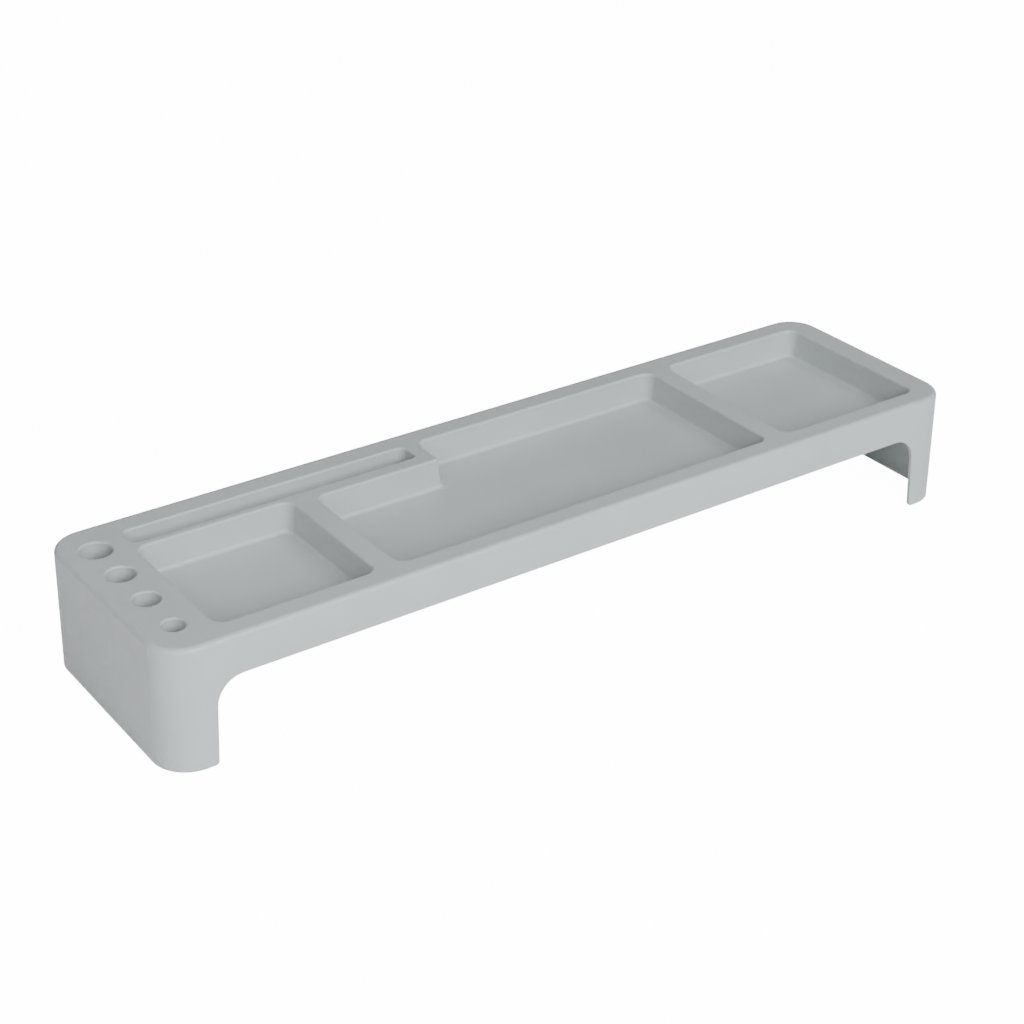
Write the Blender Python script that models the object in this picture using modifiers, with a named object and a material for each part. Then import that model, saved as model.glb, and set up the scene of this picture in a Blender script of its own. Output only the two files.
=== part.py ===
"""Over-keyboard riser stand: one open-bottomed plastic moulding standing on four rubber foot pads.

Frame: origin under the middle of the stand on the desk, +X along its length, +Y to the rear, +Z up.
"""
import math

import bmesh
import bpy

MM = 0.001

# Outside of the moulding. The walls flare outwards to the foot, so that it leaves its mould.
LENGTH = 520 * MM
DEPTH = 137 * MM
HEIGHT = 70 * MM
CORNER_RADIUS = 19 * MM
FLARE = 1.2 * MM
DECK_EDGE_RADIUS = 3 * MM
WALL = 2.5 * MM
WALL_FOOT_Z = 0.3 * MM

# Arched cut-outs that leave the two end legs, in the front and the rear wall.
ARCH_TOP_Z = 47.5 * MM
ARCH_RADIUS = 15 * MM
ARCH_LEFT_X = -234.5 * MM
ARCH_RIGHT_X = 234.2 * MM
ARCH_LEAN = 2.2 * MM
FOOT_RADIUS = 2.2 * MM

# Pockets in the deck. Each rim is (left, front, right, rear).
RIM_FRONT_Y = -54.8 * MM
RIM_REAR_Y = 53.5 * MM
LEFT_TRAY = (-224 * MM, RIM_FRONT_Y, -133.3 * MM, 33.8 * MM)
MIDDLE_TRAY = (-120 * MM, RIM_FRONT_Y, 127.7 * MM, RIM_REAR_Y)
RIGHT_TRAY = (140.8 * MM, RIM_FRONT_Y, 243 * MM, RIM_REAR_Y)
SLOT = (-222.4 * MM, 38.7 * MM, -49.2 * MM, 53.1 * MM)
SLOT_BLOCK_RIGHT_X = -40.6 * MM
SLOT_BLOCK_FRONT_Y = 29.4 * MM
TRAY_CORNER_RADIUS = 7 * MM
SLOT_CORNER_RADIUS = 4 * MM
BLOCK_CORNER_RADIUS = 1.5 * MM
LEAST_RADIUS = 0.3 * MM
POCKET_DEPTH = 17 * MM
POCKET_DRAFT = math.radians(7)
SLOT_DRAFT = math.radians(2)
FLOOR_RADIUS = 2.5 * MM

# Pen cups along the left end, from the front one to the rear one.
CUP_X = -241.5 * MM
CUP_FIRST_Y = -43.6 * MM
CUP_PITCH = 28.8 * MM
CUP_RADII = (6.0 * MM, 7.1 * MM, 7.7 * MM, 8.6 * MM)
CUP_FLOOR_Z = 12 * MM
CUP_WALL = 2 * MM
CUP_TAPER = 0.6 * MM

# Foot posts in the four corners, and the pads stuck under them.
POST_X = 250.6 * MM
POST_Y = 59.1 * MM
POST_RADIUS = 4.8 * MM
PAD_RADIUS = 3.6 * MM
PAD_HEIGHT = 1.4 * MM
PAD_EDGE = 0.3 * MM
SEAT_GAP = 0.3 * MM

# Facets.
OUTER_STEPS = 6
POCKET_STEPS = 4
EDGE_STEPS = 2
ROUND_SIDES = 20
CLEARANCE = 2 * MM


def clear_scene():
    for old in list(bpy.data.objects):
        bpy.data.objects.remove(old, do_unlink=True)


def new_collection(name):
    collection = bpy.data.collections.new(name)
    bpy.context.scene.collection.children.link(collection)
    return collection


def new_material(name, colour, roughness):
    material = bpy.data.materials.new(name)
    material.use_nodes = True
    shader = material.node_tree.nodes["Principled BSDF"]
    shader.inputs["Base Color"].default_value = (*colour, 1.0)
    shader.inputs["Roughness"].default_value = roughness
    shader.inputs["Metallic"].default_value = 0.0
    return material


def add_object(name, mesh_builder, collection):
    """Make the object whose mesh is held in mesh_builder, a bmesh."""
    bmesh.ops.recalc_face_normals(mesh_builder, faces=mesh_builder.faces)
    mesh = bpy.data.meshes.new(name)
    mesh_builder.to_mesh(mesh)
    mesh_builder.free()
    thing = bpy.data.objects.new(name, mesh)
    collection.objects.link(thing)
    return thing


def rectangle(rim, radius):
    """The corners of a rim, counter-clockwise, as (x, y, radius)."""
    left, front, right, rear = rim
    return [(left, front, radius), (right, front, radius), (right, rear, radius), (left, rear, radius)]


def outline(corners, inset, steps):
    """Round a right-angled outline and move it inwards by inset; a negative inset moves it outwards."""
    points = []
    for index, (x, y, radius) in enumerate(corners):
        before = corners[index - 1]
        after = corners[(index + 1) % len(corners)]
        come = math.atan2(y - before[1], x - before[0])
        leave = math.atan2(after[1] - y, after[0] - x)
        side = 1 if math.sin(leave - come) > 0 else -1
        inner = (-math.sin(come) - math.sin(leave), math.cos(come) + math.cos(leave))
        turn = max(radius - side * inset, LEAST_RADIUS)
        centre_x = x + inner[0] * (inset + side * turn)
        centre_y = y + inner[1] * (inset + side * turn)
        start = come - side * math.pi / 2
        for step in range(steps + 1):
            angle = start + side * math.pi / 2 * step / steps
            points.append((centre_x + turn * math.cos(angle), centre_y + turn * math.sin(angle)))
    return points


def loft(name, loops, collection):
    """Join closed loops of equal length, one after another, and cap both ends."""
    builder = bmesh.new()
    rings = []
    for loop in loops:
        points = [builder.verts.new(point) for point in loop]
        rings.append([builder.edges.new((points[i - 1], points[i])) for i in range(len(points))])
    for lower, upper in zip(rings, rings[1:]):
        bmesh.ops.bridge_loops(builder, edges=lower + upper)
    for end in (rings[0], rings[-1]):
        bmesh.ops.edgeloop_fill(builder, edges=end)
    return add_object(name, builder, collection)


def stack(name, corners, profile, steps, collection):
    """Loft one outline through a profile of (inset, height) pairs."""
    loops = []
    for inset, height in profile:
        loops.append([(x, y, height) for x, y in outline(corners, inset, steps)])
    return loft(name, loops, collection)


def pocket_profile(top, depth, draft, floor_radius, inset=0.0):
    """A drafted wall from top down to a rounded floor, as (inset, height) pairs."""
    centre_z = HEIGHT - depth + floor_radius
    centre_in = (floor_radius - (centre_z - HEIGHT) * math.sin(draft)) / math.cos(draft)
    profile = [(inset - (top - HEIGHT) * math.tan(draft), top)]
    for step in range(EDGE_STEPS + 1):
        angle = math.pi + draft + (math.pi / 2 - draft) * step / EDGE_STEPS
        profile.append((inset + centre_in + floor_radius * math.cos(angle),
                        centre_z + floor_radius * math.sin(angle)))
    return profile


def cone(name, radii, heights, centre, collection):
    """An upright cone frustum: radii and heights are (lower, upper)."""
    builder = bmesh.new()
    bmesh.ops.create_cone(builder, cap_ends=True, segments=ROUND_SIDES, radius1=radii[0],
                          radius2=radii[1], depth=heights[1] - heights[0])
    middle = (heights[0] + heights[1]) / 2
    bmesh.ops.translate(builder, verts=builder.verts, vec=(centre[0], centre[1], middle))
    return add_object(name, builder, collection)


def combine(target, tool, operation):
    """Add a Boolean of the target with a tool that stays in the file as a hidden guide."""
    tool.hide_render = True
    tool.display_type = "WIRE"
    modifier = target.modifiers.new(tool.name, "BOOLEAN")
    modifier.operation = operation
    modifier.solver = "EXACT"
    modifier.object = tool


def flare_at(height):
    """How far the outer wall stands outside the deck outline at a height."""
    return FLARE * (1 - height / HEIGHT)


def outer_block(collection):
    corners = rectangle((-LENGTH / 2, -DEPTH / 2, LENGTH / 2, DEPTH / 2), CORNER_RADIUS)
    profile = [(-flare_at(WALL_FOOT_Z), WALL_FOOT_Z)]
    for step in range(EDGE_STEPS + 2):
        angle = math.pi / 2 * step / (EDGE_STEPS + 1)
        profile.append((DECK_EDGE_RADIUS * (1 - math.cos(angle)),
                        HEIGHT - DECK_EDGE_RADIUS * (1 - math.sin(angle))))
    return stack("shelf_body", corners, profile, OUTER_STEPS, collection)


def inner_hollow(collection):
    corners = rectangle((-LENGTH / 2, -DEPTH / 2, LENGTH / 2, DEPTH / 2), CORNER_RADIUS)
    profile = [(WALL - flare_at(height), height) for height in (-CLEARANCE, HEIGHT - WALL)]
    return stack("hollow", corners, profile, OUTER_STEPS, collection)


def middle_tray_corners():
    """The middle tray gives its rear left corner to the block that holds the slot."""
    left, front, right, rear = MIDDLE_TRAY
    return [(left, front, TRAY_CORNER_RADIUS), (right, front, TRAY_CORNER_RADIUS),
            (right, rear, TRAY_CORNER_RADIUS), (SLOT_BLOCK_RIGHT_X, rear, TRAY_CORNER_RADIUS),
            (SLOT_BLOCK_RIGHT_X, SLOT_BLOCK_FRONT_Y, BLOCK_CORNER_RADIUS),
            (left, SLOT_BLOCK_FRONT_Y, TRAY_CORNER_RADIUS)]


def pockets():
    """Every pocket in the deck, as its name, its rim corners and its draft."""
    return [("left_tray", rectangle(LEFT_TRAY, TRAY_CORNER_RADIUS), POCKET_DRAFT),
            ("middle_tray", middle_tray_corners(), POCKET_DRAFT),
            ("right_tray", rectangle(RIGHT_TRAY, TRAY_CORNER_RADIUS), POCKET_DRAFT),
            ("slot", rectangle(SLOT, SLOT_CORNER_RADIUS), SLOT_DRAFT)]


def add_pocket_shells(body, guides):
    """The undersides of the trays and the slot, a wall's thickness outside the pockets."""
    for name, corners, draft in pockets():
        profile = pocket_profile(HEIGHT - WALL / 2, POCKET_DEPTH + WALL, draft, FLOOR_RADIUS + WALL, -WALL)
        combine(body, stack(name + "_shell", corners, profile, POCKET_STEPS, guides), "UNION")


def cut_pockets(body, guides):
    for name, corners, draft in pockets():
        profile = pocket_profile(HEIGHT + CLEARANCE, POCKET_DEPTH, draft, FLOOR_RADIUS)
        combine(body, stack(name, corners, profile, POCKET_STEPS, guides), "DIFFERENCE")


def add_cups(body, guides):
    """Closed cups that hang from the deck, each a little narrower at its floor."""
    for index, radius in enumerate(CUP_RADII):
        centre = (CUP_X, CUP_FIRST_Y + CUP_PITCH * index)
        outside = (radius - CUP_TAPER + CUP_WALL, radius + CUP_WALL)
        shell = cone(f"cup_{index + 1}_shell", outside, (CUP_FLOOR_Z - CUP_WALL, HEIGHT - WALL / 2),
                     centre, guides)
        combine(body, shell, "UNION")
        bore = cone(f"cup_{index + 1}", (radius - CUP_TAPER, radius), (CUP_FLOOR_Z, HEIGHT + CLEARANCE),
                    centre, guides)
        combine(body, bore, "DIFFERENCE")


def corner_places():
    """The four foot corners, by name."""
    places = {}
    for end, sign_x in (("left", -1), ("right", 1)):
        for side, sign_y in (("front", -1), ("rear", 1)):
            places[side + "_" + end] = (sign_x * POST_X, sign_y * POST_Y)
    return places


def add_posts(body, guides):
    heights = (PAD_HEIGHT + SEAT_GAP, HEIGHT - WALL / 2)
    for name, centre in corner_places().items():
        combine(body, cone("post_" + name, (POST_RADIUS, POST_RADIUS), heights, centre, guides), "UNION")


def arch_outline():
    """The cut-out's outline in X and Z, with rounded feet below and rounded corners above."""
    points = []
    lean = math.atan2(ARCH_LEAN, ARCH_TOP_Z)
    for foot_x, side in ((ARCH_LEFT_X, -1), (ARCH_RIGHT_X, 1)):
        half = [(foot_x + side * FOOT_RADIUS, -CLEARANCE), (foot_x + side * FOOT_RADIUS, WALL_FOOT_Z)]
        for step in range(1, EDGE_STEPS + 1):
            angle = math.pi / 2 * step / EDGE_STEPS
            half.append((foot_x + side * FOOT_RADIUS * (1 - math.sin(angle)),
                         WALL_FOOT_Z + FOOT_RADIUS * (1 - math.cos(angle))))
        centre_x = foot_x - side * (ARCH_LEAN + ARCH_RADIUS * (1 - math.sin(lean)))
        centre_z = ARCH_TOP_Z - ARCH_RADIUS
        for step in range(OUTER_STEPS + 1):
            angle = lean + (math.pi / 2 - lean) * step / OUTER_STEPS
            half.append((centre_x + side * ARCH_RADIUS * math.cos(angle),
                         centre_z + ARCH_RADIUS * math.sin(angle)))
        points += half if side < 0 else half[::-1]
    return points


def cut_arches(body, guides):
    inside_y = DEPTH / 2 - WALL - CLEARANCE
    outside_y = DEPTH / 2 + FLARE + CLEARANCE
    for name, side in (("front_arch", -1), ("rear_arch", 1)):
        loops = [[(x, side * y, z) for x, z in arch_outline()] for y in (inside_y, outside_y)]
        combine(body, loft(name, loops, guides), "DIFFERENCE")


def make_body(parts, guides):
    body = outer_block(parts)
    combine(body, inner_hollow(guides), "DIFFERENCE")
    add_pocket_shells(body, guides)
    cut_pockets(body, guides)
    add_cups(body, guides)
    add_posts(body, guides)
    cut_arches(body, guides)
    body.data.materials.append(new_material("moulded_plastic", (0.42, 0.45, 0.45), 0.5))
    return body


def make_pads(parts):
    """Round pads with a small chamfer, which stand the moulding just clear of the desk."""
    rubber = new_material("pad_rubber", (0.32, 0.33, 0.33), 0.75)
    for name, (x, y) in corner_places().items():
        pad = cone("foot_pad_" + name, (PAD_RADIUS, PAD_RADIUS), (0, PAD_HEIGHT), (0, 0), parts)
        pad.location = (x, y, 0)
        chamfer = pad.modifiers.new("chamfer", "BEVEL")
        chamfer.width = PAD_EDGE
        chamfer.segments = 1
        chamfer.limit_method = "ANGLE"
        chamfer.angle_limit = math.radians(60)
        pad.data.materials.append(rubber)


def main():
    clear_scene()
    parts = new_collection("riser_stand")
    guides = new_collection("guides")
    make_body(parts, guides)
    make_pads(parts)


main()
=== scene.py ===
import math

import bmesh
import bpy
from mathutils import Matrix, Vector


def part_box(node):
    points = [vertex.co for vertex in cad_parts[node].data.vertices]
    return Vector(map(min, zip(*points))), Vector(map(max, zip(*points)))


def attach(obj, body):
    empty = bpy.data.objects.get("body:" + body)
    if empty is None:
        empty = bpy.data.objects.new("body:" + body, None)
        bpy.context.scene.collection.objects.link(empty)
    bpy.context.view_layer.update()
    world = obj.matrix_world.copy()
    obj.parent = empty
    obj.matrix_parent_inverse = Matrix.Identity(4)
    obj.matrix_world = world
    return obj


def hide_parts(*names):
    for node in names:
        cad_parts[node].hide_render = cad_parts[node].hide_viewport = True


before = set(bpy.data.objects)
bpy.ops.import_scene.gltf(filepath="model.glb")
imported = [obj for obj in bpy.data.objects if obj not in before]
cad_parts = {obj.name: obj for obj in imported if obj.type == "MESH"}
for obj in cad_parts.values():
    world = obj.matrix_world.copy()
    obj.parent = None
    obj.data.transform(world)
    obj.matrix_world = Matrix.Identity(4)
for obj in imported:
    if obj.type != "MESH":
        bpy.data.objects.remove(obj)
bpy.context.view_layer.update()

MM = 0.001

# The frame gives the overall size and the places of the pads.
BODY_LOW, BODY_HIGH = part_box("shelf_body")
PAD_BOXES = {name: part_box(name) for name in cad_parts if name.startswith("foot_pad_")}
HEIGHT = BODY_HIGH.z
WALL_FOOT_Z = BODY_LOW.z

# The moulding's own design values, as the CAD model has them.
FLARE = 1.2 * MM
FLARE_AT_FOOT = FLARE * (1 - WALL_FOOT_Z / HEIGHT)
LENGTH = BODY_HIGH.x - BODY_LOW.x - 2 * FLARE_AT_FOOT
DEPTH = BODY_HIGH.y - BODY_LOW.y - 2 * FLARE_AT_FOOT
CORNER_RADIUS = 19 * MM
DECK_EDGE_RADIUS = 3 * MM
WALL = 2.5 * MM
ARCH_TOP_Z = 47.5 * MM
ARCH_RADIUS = 15 * MM
ARCH_LEFT_X = -234.5 * MM
ARCH_RIGHT_X = 234.2 * MM
ARCH_LEAN = 2.2 * MM
FOOT_RADIUS = 2.2 * MM
RIM_FRONT_Y = -54.8 * MM
RIM_REAR_Y = 53.5 * MM
LEFT_TRAY = (-224 * MM, RIM_FRONT_Y, -133.3 * MM, 33.8 * MM)
MIDDLE_TRAY = (-120 * MM, RIM_FRONT_Y, 127.7 * MM, RIM_REAR_Y)
RIGHT_TRAY = (140.8 * MM, RIM_FRONT_Y, 243 * MM, RIM_REAR_Y)
SLOT = (-222.4 * MM, 38.7 * MM, -49.2 * MM, 53.1 * MM)
SLOT_BLOCK_RIGHT_X = -40.6 * MM
SLOT_BLOCK_FRONT_Y = 29.4 * MM
TRAY_CORNER_RADIUS = 7 * MM
SLOT_CORNER_RADIUS = 4 * MM
BLOCK_CORNER_RADIUS = 1.5 * MM
LEAST_RADIUS = 0.3 * MM
POCKET_DEPTH = 17 * MM
POCKET_DRAFT = math.radians(7)
SLOT_DRAFT = math.radians(2)
FLOOR_RADIUS = 2.5 * MM
CUP_X = -241.5 * MM
CUP_FIRST_Y = -43.6 * MM
CUP_PITCH = 28.8 * MM
CUP_RADII = (6.0 * MM, 7.1 * MM, 7.7 * MM, 8.6 * MM)
CUP_FLOOR_Z = 12 * MM
CUP_WALL = 2 * MM
CUP_TAPER = 0.6 * MM
POST_RADIUS = 4.8 * MM
SEAT_GAP = 0.3 * MM

# Fine rounding, which the CAD model leaves out. A rim's arc stops BREAK_ANGLE short of the deck's plane.
TRAY_RIM_RADIUS = 1.6 * MM
SLOT_RIM_RADIUS = 1.2 * MM
CUP_RIM_RADIUS = 1.1 * MM
CUP_FLOOR_RADIUS = 2.5 * MM
CEILING_RADIUS = 1.2 * MM
WALL_EDGE_RADIUS = 0.4 * MM
PAD_EDGE_RADIUS = 0.45 * MM
PAD_NECK = 0.1 * MM
BREAK_ANGLE = math.radians(6)

# Fineness, and how far a cutter reaches past what it cuts.
CORNER_STEPS = 18
ARC_STEPS = 8
SMALL_ARC_STEPS = 4
ROUND_SIDES = 64
CLEARANCE = 0.5 * MM

# An edge is rounded where its faces turn by ROUND_FROM, and is shaded sharp where they turn by SHARP_FROM.
ROUND_FROM = math.radians(40)
SHARP_FROM = math.radians(50)
WALL_MARGIN = 0.3 * MM
ARCH_MARGIN = 0.1 * MM
FOOT_MARGIN = 0.05 * MM

# Light: an even sky, a white stage, and square lamps as
# (name, azimuth from the front, elevation, distance, size, power, colour).
SKY_LIGHT = 0.2
STAGE_GLOW = 14.0
STAGE_RADIUS = 6.0
BOUNCE_DROP = 0.2 * MM
LAMPS = (("front", 0, 30, 2.6, 1.1, 78, (0.94, 0.98, 1.0)),
         ("rim", 45, 45, 2.6, 0.9, 22, (1, 1, 1)),
         ("top", -35, 60, 2.2, 0.7, 11, (1, 1, 1)),
         ("left", -55, 24, 1.3, 0.6, 6.5, (1, 1, 1)))

# Camera, as a real one would stand: place, aim and lens.
CAMERA_PLACE = Vector((-596.0, -818.6, 595.6)) * MM
CAMERA_YAW = math.radians(-35.543)
CAMERA_PITCH = math.radians(-28.885)
CAMERA_ROLL = math.radians(0.693)
LENS = 72.17


# ---------------------------------------------------------------- mesh helpers

def link(thing):
    bpy.context.scene.collection.objects.link(thing)
    return thing


def add_object(name, builder):
    bmesh.ops.recalc_face_normals(builder, faces=builder.faces)
    mesh = bpy.data.meshes.new(name)
    builder.to_mesh(mesh)
    builder.free()
    return link(bpy.data.objects.new(name, mesh))


def rectangle(rim, radius):
    """The corners of a rim, counter-clockwise, as (x, y, radius)."""
    left, front, right, rear = rim
    return [(left, front, radius), (right, front, radius), (right, rear, radius), (left, rear, radius)]


def outline(corners, inset, steps):
    """Round a right-angled outline and move it inwards by inset; a negative inset moves it outwards."""
    points = []
    for index, (x, y, radius) in enumerate(corners):
        before = corners[index - 1]
        after = corners[(index + 1) % len(corners)]
        come = math.atan2(y - before[1], x - before[0])
        leave = math.atan2(after[1] - y, after[0] - x)
        side = 1 if math.sin(leave - come) > 0 else -1
        inner = (-math.sin(come) - math.sin(leave), math.cos(come) + math.cos(leave))
        turn = max(radius - side * inset, LEAST_RADIUS)
        centre_x = x + inner[0] * (inset + side * turn)
        centre_y = y + inner[1] * (inset + side * turn)
        start = come - side * math.pi / 2
        for step in range(steps + 1):
            angle = start + side * math.pi / 2 * step / steps
            points.append((centre_x + turn * math.cos(angle), centre_y + turn * math.sin(angle)))
    return points


def loft(name, loops):
    """Join closed loops of equal length, one after another, and cap both ends."""
    builder = bmesh.new()
    rings = [[builder.verts.new(point) for point in loop] for loop in loops]
    count = len(rings[0])
    for lower, upper in zip(rings, rings[1:]):
        for index in range(count):
            after = (index + 1) % count
            builder.faces.new((lower[index], lower[after], upper[after], upper[index]))
    builder.faces.new(rings[0][::-1])
    builder.faces.new(rings[-1])
    return add_object(name, builder)


def stack(name, corners, profile, steps):
    """Loft one outline through a profile of (inset, height) pairs."""
    return loft(name, [[(x, y, z) for x, y in outline(corners, inset, steps)] for inset, z in profile])


def arc(centre, radius, start, end, steps):
    """(inset, height) pairs along an arc, angles in radians."""
    angles = [start + (end - start) * step / steps for step in range(steps + 1)]
    return [(centre[0] + radius * math.cos(a), centre[1] + radius * math.sin(a)) for a in angles]


def pocket_profile(depth, draft, rim_radius, floor_radius):
    """A pocket's wall as (inset, height) pairs: out of the deck, over the rim, down, and to the floor."""
    rim_centre = ((rim_radius * math.sin(draft) - rim_radius) / math.cos(draft), HEIGHT - rim_radius)
    top = math.pi / 2 - BREAK_ANGLE
    profile = arc(rim_centre, rim_radius, top, draft, ARC_STEPS)
    reach = CLEARANCE / math.tan(BREAK_ANGLE)
    profile.insert(0, (profile[0][0] - reach, profile[0][1] + CLEARANCE))
    floor_z = HEIGHT - depth + floor_radius
    floor_in = (floor_radius + (HEIGHT - floor_z) * math.sin(draft)) / math.cos(draft)
    return profile + arc((floor_in, floor_z), floor_radius, math.pi + draft, math.pi * 1.5, ARC_STEPS)


def shell_profile(depth, draft, floor_radius):
    """The underside of a pocket, a wall's thickness outside it."""
    floor_z = HEIGHT - depth + floor_radius
    radius = floor_radius + WALL
    floor_in = (radius + (HEIGHT - floor_z) * math.sin(draft)) / math.cos(draft) - WALL
    start = (-WALL + (WALL / 2) * math.tan(draft), HEIGHT - WALL / 2)
    return [start] + arc((floor_in, floor_z), radius, math.pi + draft, math.pi * 1.5, ARC_STEPS)


def turned(name, profile, centre, sides=ROUND_SIDES):
    """A solid of revolution from (radius, height) pairs, capped at both ends."""
    angles = [2 * math.pi * index / sides for index in range(sides)]
    loops = []
    for radius, height in profile:
        loops.append([(centre[0] + radius * math.cos(a), centre[1] + radius * math.sin(a), height)
                      for a in angles])
    return loft(name, loops)


def combine(target, tool, operation):
    """Add a Boolean of the target with a tool, and return the tool."""
    modifier = target.modifiers.new(tool.name, "BOOLEAN")
    modifier.operation = operation
    modifier.solver = "EXACT"
    modifier.object = tool
    return tool


def settle(thing, tools):
    """Apply the modifiers to the mesh and remove the tools that they used."""
    bpy.context.view_layer.update()
    graph = bpy.context.evaluated_depsgraph_get()
    mesh = bpy.data.meshes.new_from_object(thing.evaluated_get(graph), depsgraph=graph)
    thing.modifiers.clear()
    thing.data = mesh
    for tool in tools:
        bpy.data.objects.remove(tool, do_unlink=True)


# ---------------------------------------------------------------- the moulding

def deck_corners():
    return rectangle((-LENGTH / 2, -DEPTH / 2, LENGTH / 2, DEPTH / 2), CORNER_RADIUS)


def flare_at(height):
    """How far the outer wall stands outside the deck outline at a height."""
    return FLARE * (1 - height / HEIGHT)


def outer_block():
    profile = [(-flare_at(WALL_FOOT_Z), WALL_FOOT_Z)]
    for step in range(ARC_STEPS + 1):
        angle = math.pi / 2 * step / ARC_STEPS
        profile.append((DECK_EDGE_RADIUS * (1 - math.cos(angle)),
                        HEIGHT - DECK_EDGE_RADIUS * (1 - math.sin(angle))))
    return stack("riser_moulding", deck_corners(), profile, CORNER_STEPS)


def inner_hollow():
    """The open underside; its ceiling meets the walls in a small radius."""
    ceiling = HEIGHT - WALL
    spring = ceiling - CEILING_RADIUS
    profile = [(WALL - flare_at(z), z) for z in (-CLEARANCE, spring)]
    base = WALL - flare_at(spring)
    for step in range(1, SMALL_ARC_STEPS + 1):
        angle = math.pi / 2 * step / SMALL_ARC_STEPS
        profile.append((base + CEILING_RADIUS * (1 - math.cos(angle)),
                        ceiling - CEILING_RADIUS * (1 - math.sin(angle))))
    return stack("hollow", deck_corners(), profile, CORNER_STEPS)


def middle_tray_corners():
    """The middle tray gives its rear left corner to the block that holds the slot."""
    left, front, right, rear = MIDDLE_TRAY
    return [(left, front, TRAY_CORNER_RADIUS), (right, front, TRAY_CORNER_RADIUS),
            (right, rear, TRAY_CORNER_RADIUS), (SLOT_BLOCK_RIGHT_X, rear, TRAY_CORNER_RADIUS),
            (SLOT_BLOCK_RIGHT_X, SLOT_BLOCK_FRONT_Y, BLOCK_CORNER_RADIUS),
            (left, SLOT_BLOCK_FRONT_Y, TRAY_CORNER_RADIUS)]


def pockets():
    """Every pocket in the deck: name, rim corners, draft and rim radius."""
    return [("left_tray", rectangle(LEFT_TRAY, TRAY_CORNER_RADIUS), POCKET_DRAFT, TRAY_RIM_RADIUS),
            ("middle_tray", middle_tray_corners(), POCKET_DRAFT, TRAY_RIM_RADIUS),
            ("right_tray", rectangle(RIGHT_TRAY, TRAY_CORNER_RADIUS), POCKET_DRAFT, TRAY_RIM_RADIUS),
            ("slot", rectangle(SLOT, SLOT_CORNER_RADIUS), SLOT_DRAFT, SLOT_RIM_RADIUS)]


def cup_profiles(radius):
    """A pen cup's bore and its outside, as (radius, height) pairs from the top down."""
    top = math.pi - (math.pi / 2 - BREAK_ANGLE)
    rim = arc((radius + CUP_RIM_RADIUS, HEIGHT - CUP_RIM_RADIUS), CUP_RIM_RADIUS, top, math.pi, ARC_STEPS)
    reach = CLEARANCE / math.tan(BREAK_ANGLE)
    rim.insert(0, (rim[0][0] + reach, rim[0][1] + CLEARANCE))
    low = radius - CUP_TAPER
    floor = arc((low - CUP_FLOOR_RADIUS, CUP_FLOOR_Z + CUP_FLOOR_RADIUS), CUP_FLOOR_RADIUS,
                0, -math.pi / 2, ARC_STEPS)
    bottom = CUP_FLOOR_Z - CUP_WALL
    outside = [(radius + CUP_WALL, HEIGHT - WALL / 2)]
    outside += arc((low + CUP_WALL - CUP_FLOOR_RADIUS, bottom + CUP_FLOOR_RADIUS), CUP_FLOOR_RADIUS,
                   0, -math.pi / 2, ARC_STEPS)
    return rim + floor, outside


def arch_outline():
    """The cut-out's outline in X and Z, with rounded feet below and rounded corners above."""
    points = []
    lean = math.atan2(ARCH_LEAN, ARCH_TOP_Z)
    for foot_x, side in ((ARCH_LEFT_X, -1), (ARCH_RIGHT_X, 1)):
        outer_x = foot_x + side * FOOT_RADIUS
        half = [(outer_x, -CLEARANCE), (outer_x, WALL_FOOT_Z)]
        for step in range(1, ARC_STEPS + 1):
            angle = math.pi / 2 * step / ARC_STEPS
            half.append((foot_x + side * FOOT_RADIUS * (1 - math.sin(angle)),
                         WALL_FOOT_Z + FOOT_RADIUS * (1 - math.cos(angle))))
        centre_x = foot_x - side * (ARCH_LEAN + ARCH_RADIUS * (1 - math.sin(lean)))
        for step in range(CORNER_STEPS + 1):
            angle = lean + (math.pi / 2 - lean) * step / CORNER_STEPS
            half.append((centre_x + side * ARCH_RADIUS * math.cos(angle),
                         ARCH_TOP_Z - ARCH_RADIUS + ARCH_RADIUS * math.sin(angle)))
        points += half if side < 0 else half[::-1]
    return points


def build_moulding():
    body = outer_block()
    tools = [combine(body, inner_hollow(), "DIFFERENCE")]
    for name, corners, draft, _ in pockets():
        shell = stack(name + "_shell", corners, shell_profile(POCKET_DEPTH, draft, FLOOR_RADIUS), ARC_STEPS)
        tools.append(combine(body, shell, "UNION"))
    for name, corners, draft, rim in pockets():
        cutter = stack(name, corners, pocket_profile(POCKET_DEPTH, draft, rim, FLOOR_RADIUS), ARC_STEPS)
        tools.append(combine(body, cutter, "DIFFERENCE"))
    for index, radius in enumerate(CUP_RADII):
        centre = (CUP_X, CUP_FIRST_Y + CUP_PITCH * index)
        bore, outside = cup_profiles(radius)
        tools.append(combine(body, turned(f"cup_{index}_shell", outside, centre), "UNION"))
        tools.append(combine(body, turned(f"cup_{index}", bore, centre), "DIFFERENCE"))
    for name, (low, high) in PAD_BOXES.items():
        centre = ((low.x + high.x) / 2, (low.y + high.y) / 2)
        heights = (high.z + SEAT_GAP, HEIGHT - WALL / 2)
        post = turned("post_" + name, [(POST_RADIUS, z) for z in heights], centre)
        tools.append(combine(body, post, "UNION"))
    inside_y = DEPTH / 2 - WALL - 2 * MM
    outside_y = DEPTH / 2 + FLARE + 2 * MM
    for name, side in (("front_arch", -1), ("rear_arch", 1)):
        loops = [[(x, side * y, z) for x, z in arch_outline()] for y in (inside_y, outside_y)]
        tools.append(combine(body, loft(name, loops), "DIFFERENCE"))
    settle(body, tools)
    round_wall_edges(body)
    return body


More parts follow.
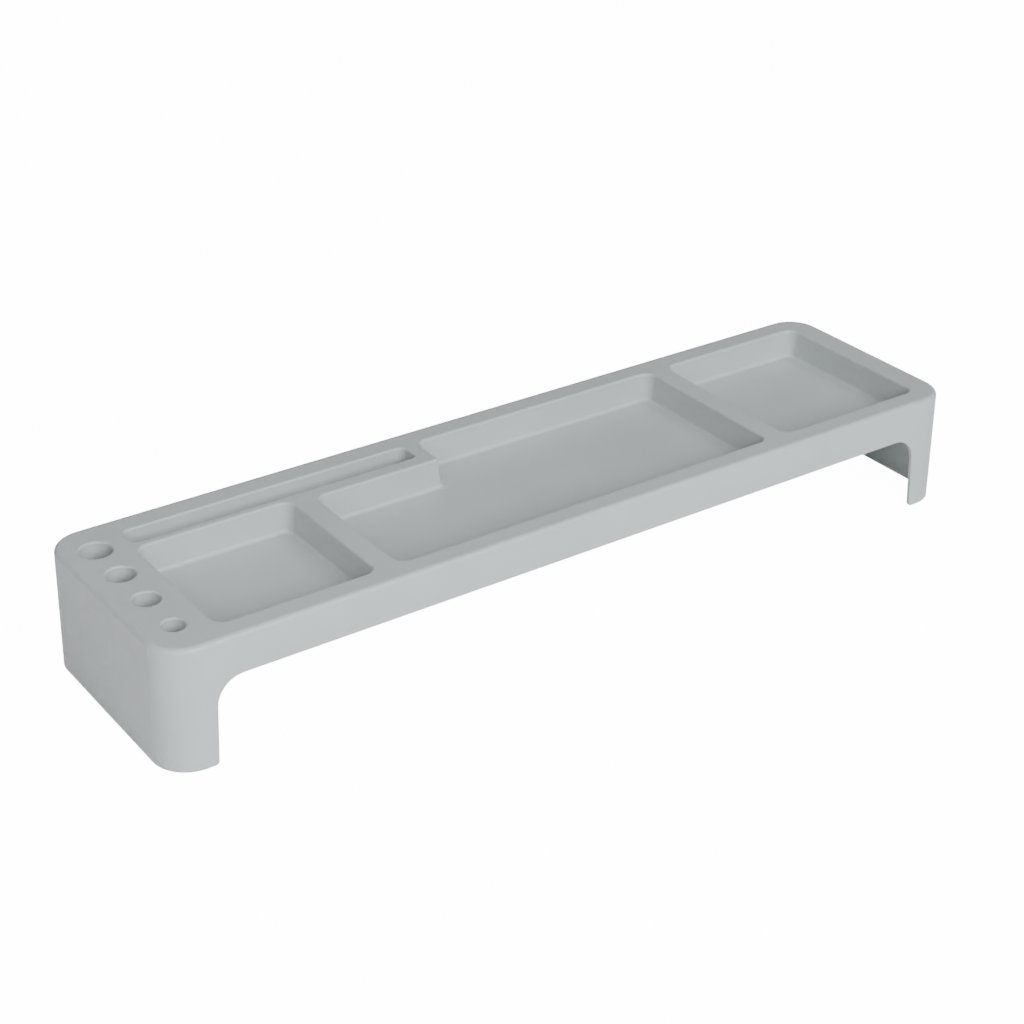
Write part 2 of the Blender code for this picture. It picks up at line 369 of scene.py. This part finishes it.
def round_wall_edges(body):
    """Round the sharp edges along the arches and the feet of the walls."""
    builder = bmesh.new()
    builder.from_mesh(body.data)
    bmesh.ops.dissolve_degenerate(builder, dist=1e-6, edges=builder.edges)
    chosen = []
    for edge in builder.edges:
        if len(edge.link_faces) != 2 or edge.calc_face_angle(0) < ROUND_FROM:
            continue
        middle = (edge.verts[0].co + edge.verts[1].co) / 2
        beyond_y = abs(middle.y) - (DEPTH / 2 - WALL - WALL_MARGIN)
        beyond_x = abs(middle.x) - (LENGTH / 2 - WALL - WALL_MARGIN)
        in_wall = max(beyond_x, beyond_y) > 0 and middle.z < ARCH_TOP_Z + ARCH_MARGIN
        at_foot = middle.z < WALL_FOOT_Z + FOOT_MARGIN
        if in_wall or at_foot:
            chosen.append(edge)
    bmesh.ops.bevel(builder, geom=chosen, offset=WALL_EDGE_RADIUS, segments=SMALL_ARC_STEPS,
                    profile=0.5, affect="EDGES", clamp_overlap=False)
    bmesh.ops.recalc_face_normals(builder, faces=builder.faces)
    builder.to_mesh(body.data)
    builder.free()


def finish_mesh(thing, material):
    """Smooth shading that keeps the flat faces flat."""
    thing.data.materials.clear()
    thing.data.materials.append(material)
    thing.data.shade_smooth()
    thing.data.set_sharp_from_angle(angle=SHARP_FROM)
    weighted = thing.modifiers.new("weighted", "WEIGHTED_NORMAL")
    weighted.keep_sharp = True
    weighted.weight = 100


# ---------------------------------------------------------------- materials

def new_material(name):
    """A material, with its nodes, its links and its shader."""
    material = bpy.data.materials.new(name)
    material.use_nodes = True
    nodes = material.node_tree.nodes
    return material, nodes, material.node_tree.links, nodes["Principled BSDF"]


def noise(nodes, links, coordinates, scale, detail, rough=0.5):
    node = nodes.new("ShaderNodeTexNoise")
    node.inputs["Scale"].default_value = scale
    node.inputs["Detail"].default_value = detail
    node.inputs["Roughness"].default_value = rough
    links.new(coordinates.outputs["Object"], node.inputs["Vector"])
    return node


def remap(nodes, links, source, low, high, to_low, to_high):
    node = nodes.new("ShaderNodeMapRange")
    node.inputs["From Min"].default_value = low
    node.inputs["From Max"].default_value = high
    node.inputs["To Min"].default_value = to_low
    node.inputs["To Max"].default_value = to_high
    links.new(source, node.inputs["Value"])
    return node.outputs["Result"]


def bump(nodes, links, height, strength, distance, normal=None):
    node = nodes.new("ShaderNodeBump")
    node.inputs["Strength"].default_value = strength
    node.inputs["Distance"].default_value = distance
    links.new(height, node.inputs["Height"])
    if normal is not None:
        links.new(normal, node.inputs["Normal"])
    return node.outputs["Normal"]


def moulded_plastic():
    """Matte moulded plastic: a fine eroded grain, faint clouding and slight sink."""
    material, nodes, links, shader = new_material("moulded_plastic")
    place = nodes.new("ShaderNodeTexCoord")
    clouds = noise(nodes, links, place, 14, 4)
    grain = noise(nodes, links, place, 2600, 3, 0.6)
    sink = noise(nodes, links, place, 22, 1)
    shade = nodes.new("ShaderNodeMix")
    shade.data_type = "RGBA"
    shade.inputs["A"].default_value = (0.374, 0.397, 0.402, 1)
    shade.inputs["B"].default_value = (0.404, 0.431, 0.437, 1)
    links.new(remap(nodes, links, clouds.outputs["Fac"], 0.3, 0.7, 0, 1), shade.inputs["Factor"])
    links.new(shade.outputs["Result"], shader.inputs["Base Color"])
    links.new(remap(nodes, links, clouds.outputs["Fac"], 0.3, 0.7, 0.32, 0.38), shader.inputs["Roughness"])
    soft = bump(nodes, links, sink.outputs["Fac"], 0.25, 0.0004)
    links.new(bump(nodes, links, grain.outputs["Fac"], 0.12, 0.00004, soft), shader.inputs["Normal"])
    shader.inputs["IOR"].default_value = 1.49
    return material


def pad_rubber():
    """Soft grey rubber with fine pores and dust."""
    material, nodes, links, shader = new_material("pad_rubber")
    place = nodes.new("ShaderNodeTexCoord")
    dust = noise(nodes, links, place, 300, 4)
    pores = noise(nodes, links, place, 3200, 2)
    shade = nodes.new("ShaderNodeMix")
    shade.data_type = "RGBA"
    shade.inputs["A"].default_value = (0.26, 0.27, 0.27, 1)
    shade.inputs["B"].default_value = (0.36, 0.37, 0.37, 1)
    links.new(dust.outputs["Fac"], shade.inputs["Factor"])
    links.new(shade.outputs["Result"], shader.inputs["Base Color"])
    links.new(remap(nodes, links, dust.outputs["Fac"], 0.3, 0.7, 0.7, 0.85), shader.inputs["Roughness"])
    links.new(bump(nodes, links, pores.outputs["Fac"], 0.3, 0.00005), shader.inputs["Normal"])
    return material


# ---------------------------------------------------------------- pads

def build_pad(name, material):
    """A foot pad with a rounded tread that reaches up to its post."""
    low, high = PAD_BOXES[name]
    radius = (high.x - low.x) / 2
    centre = ((low.x + high.x) / 2, (low.y + high.y) / 2)
    edge = PAD_EDGE_RADIUS
    profile = arc((radius - edge, low.z + edge), edge, -math.pi / 2, 0, ARC_STEPS)
    profile += [(radius, high.z), (radius - PAD_NECK, high.z + SEAT_GAP)]
    pad = turned(name.replace("foot_pad", "rubber_pad"), profile, centre)
    finish_mesh(pad, material)
    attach(pad, "root")
    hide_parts(name)


# ---------------------------------------------------------------- stage

def set_as_stage(name, thing, glow):
    """Give a stage object plain white paper; glow makes it read as pure white."""
    material, _, _, shader = new_material(name)
    shader.inputs["Base Color"].default_value = (0.93, 0.93, 0.93, 1)
    shader.inputs["Roughness"].default_value = 0.9
    shader.inputs["Specular IOR Level"].default_value = 0.1
    shader.inputs["Emission Color"].default_value = (1, 1, 1, 1)
    shader.inputs["Emission Strength"].default_value = glow
    thing.data.materials.append(material)


def build_floor(name, height, glow):
    builder = bmesh.new()
    bmesh.ops.create_grid(builder, x_segments=2, y_segments=2, size=STAGE_RADIUS)
    floor = add_object(name, builder)
    floor.location.z = height
    set_as_stage(name, floor, glow)
    return floor


def build_backdrop(name, glow):
    """A wide dome that closes the horizon."""
    builder = bmesh.new()
    bmesh.ops.create_uvsphere(builder, u_segments=64, v_segments=32, radius=STAGE_RADIUS)
    dome = add_object(name, builder)
    set_as_stage(name, dome, glow)
    return dome


def build_stage():
    """The white floor and dome are only looked at; a floor just under them returns light to the object."""
    for seen in (build_floor("studio_floor", 0, STAGE_GLOW), build_backdrop("studio_dome", STAGE_GLOW)):
        seen.visible_diffuse = False
        seen.visible_glossy = False
        seen.visible_shadow = False
    lit = build_floor("bounce_floor", -BOUNCE_DROP, 0)
    lit.visible_camera = False

    world = bpy.data.worlds.new("studio")
    bpy.context.scene.world = world
    world.use_nodes = True
    background = world.node_tree.nodes["Background"]
    background.inputs["Color"].default_value = (1, 1, 1, 1)
    background.inputs["Strength"].default_value = SKY_LIGHT
    for name, azimuth, elevation, distance, size, power, colour in LAMPS:
        lamp = bpy.data.lights.new(name, "AREA")
        lamp.shape = "SQUARE"
        lamp.size = size
        lamp.energy = power
        lamp.color = colour
        around, above = math.radians(azimuth), math.radians(elevation)
        outwards = Vector((math.sin(around) * math.cos(above), -math.cos(around) * math.cos(above),
                           math.sin(above)))
        holder = link(bpy.data.objects.new(name, lamp))
        holder.location = Vector((0, 0, HEIGHT)) + outwards * distance
        holder.rotation_mode = "QUATERNION"
        holder.rotation_quaternion = (-outwards).to_track_quat("-Z", "Y")


def build_camera():
    yaw, pitch, roll = CAMERA_YAW, CAMERA_PITCH, CAMERA_ROLL
    forward = Vector((-math.sin(yaw) * math.cos(pitch), math.cos(yaw) * math.cos(pitch), math.sin(pitch)))
    right = Vector((math.cos(yaw), math.sin(yaw), 0))
    up = right.cross(forward)
    turned_right = right * math.cos(roll) + up * math.sin(roll)
    turned_up = up * math.cos(roll) - right * math.sin(roll)
    lens = bpy.data.cameras.new("camera")
    lens.lens = LENS
    lens.sensor_width = 36
    lens.clip_start = 0.05
    lens.clip_end = 50
    camera = link(bpy.data.objects.new("camera", lens))
    axes = Matrix((turned_right, turned_up, -forward)).transposed()
    camera.matrix_world = Matrix.Translation(CAMERA_PLACE) @ axes.to_4x4()
    bpy.context.scene.camera = camera


build_stage()
build_camera()
plastic = moulded_plastic()
rubber = pad_rubber()
moulding = build_moulding()
finish_mesh(moulding, plastic)
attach(moulding, "root")
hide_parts("shelf_body")
for pad_name in PAD_BOXES:
    build_pad(pad_name, rubber)
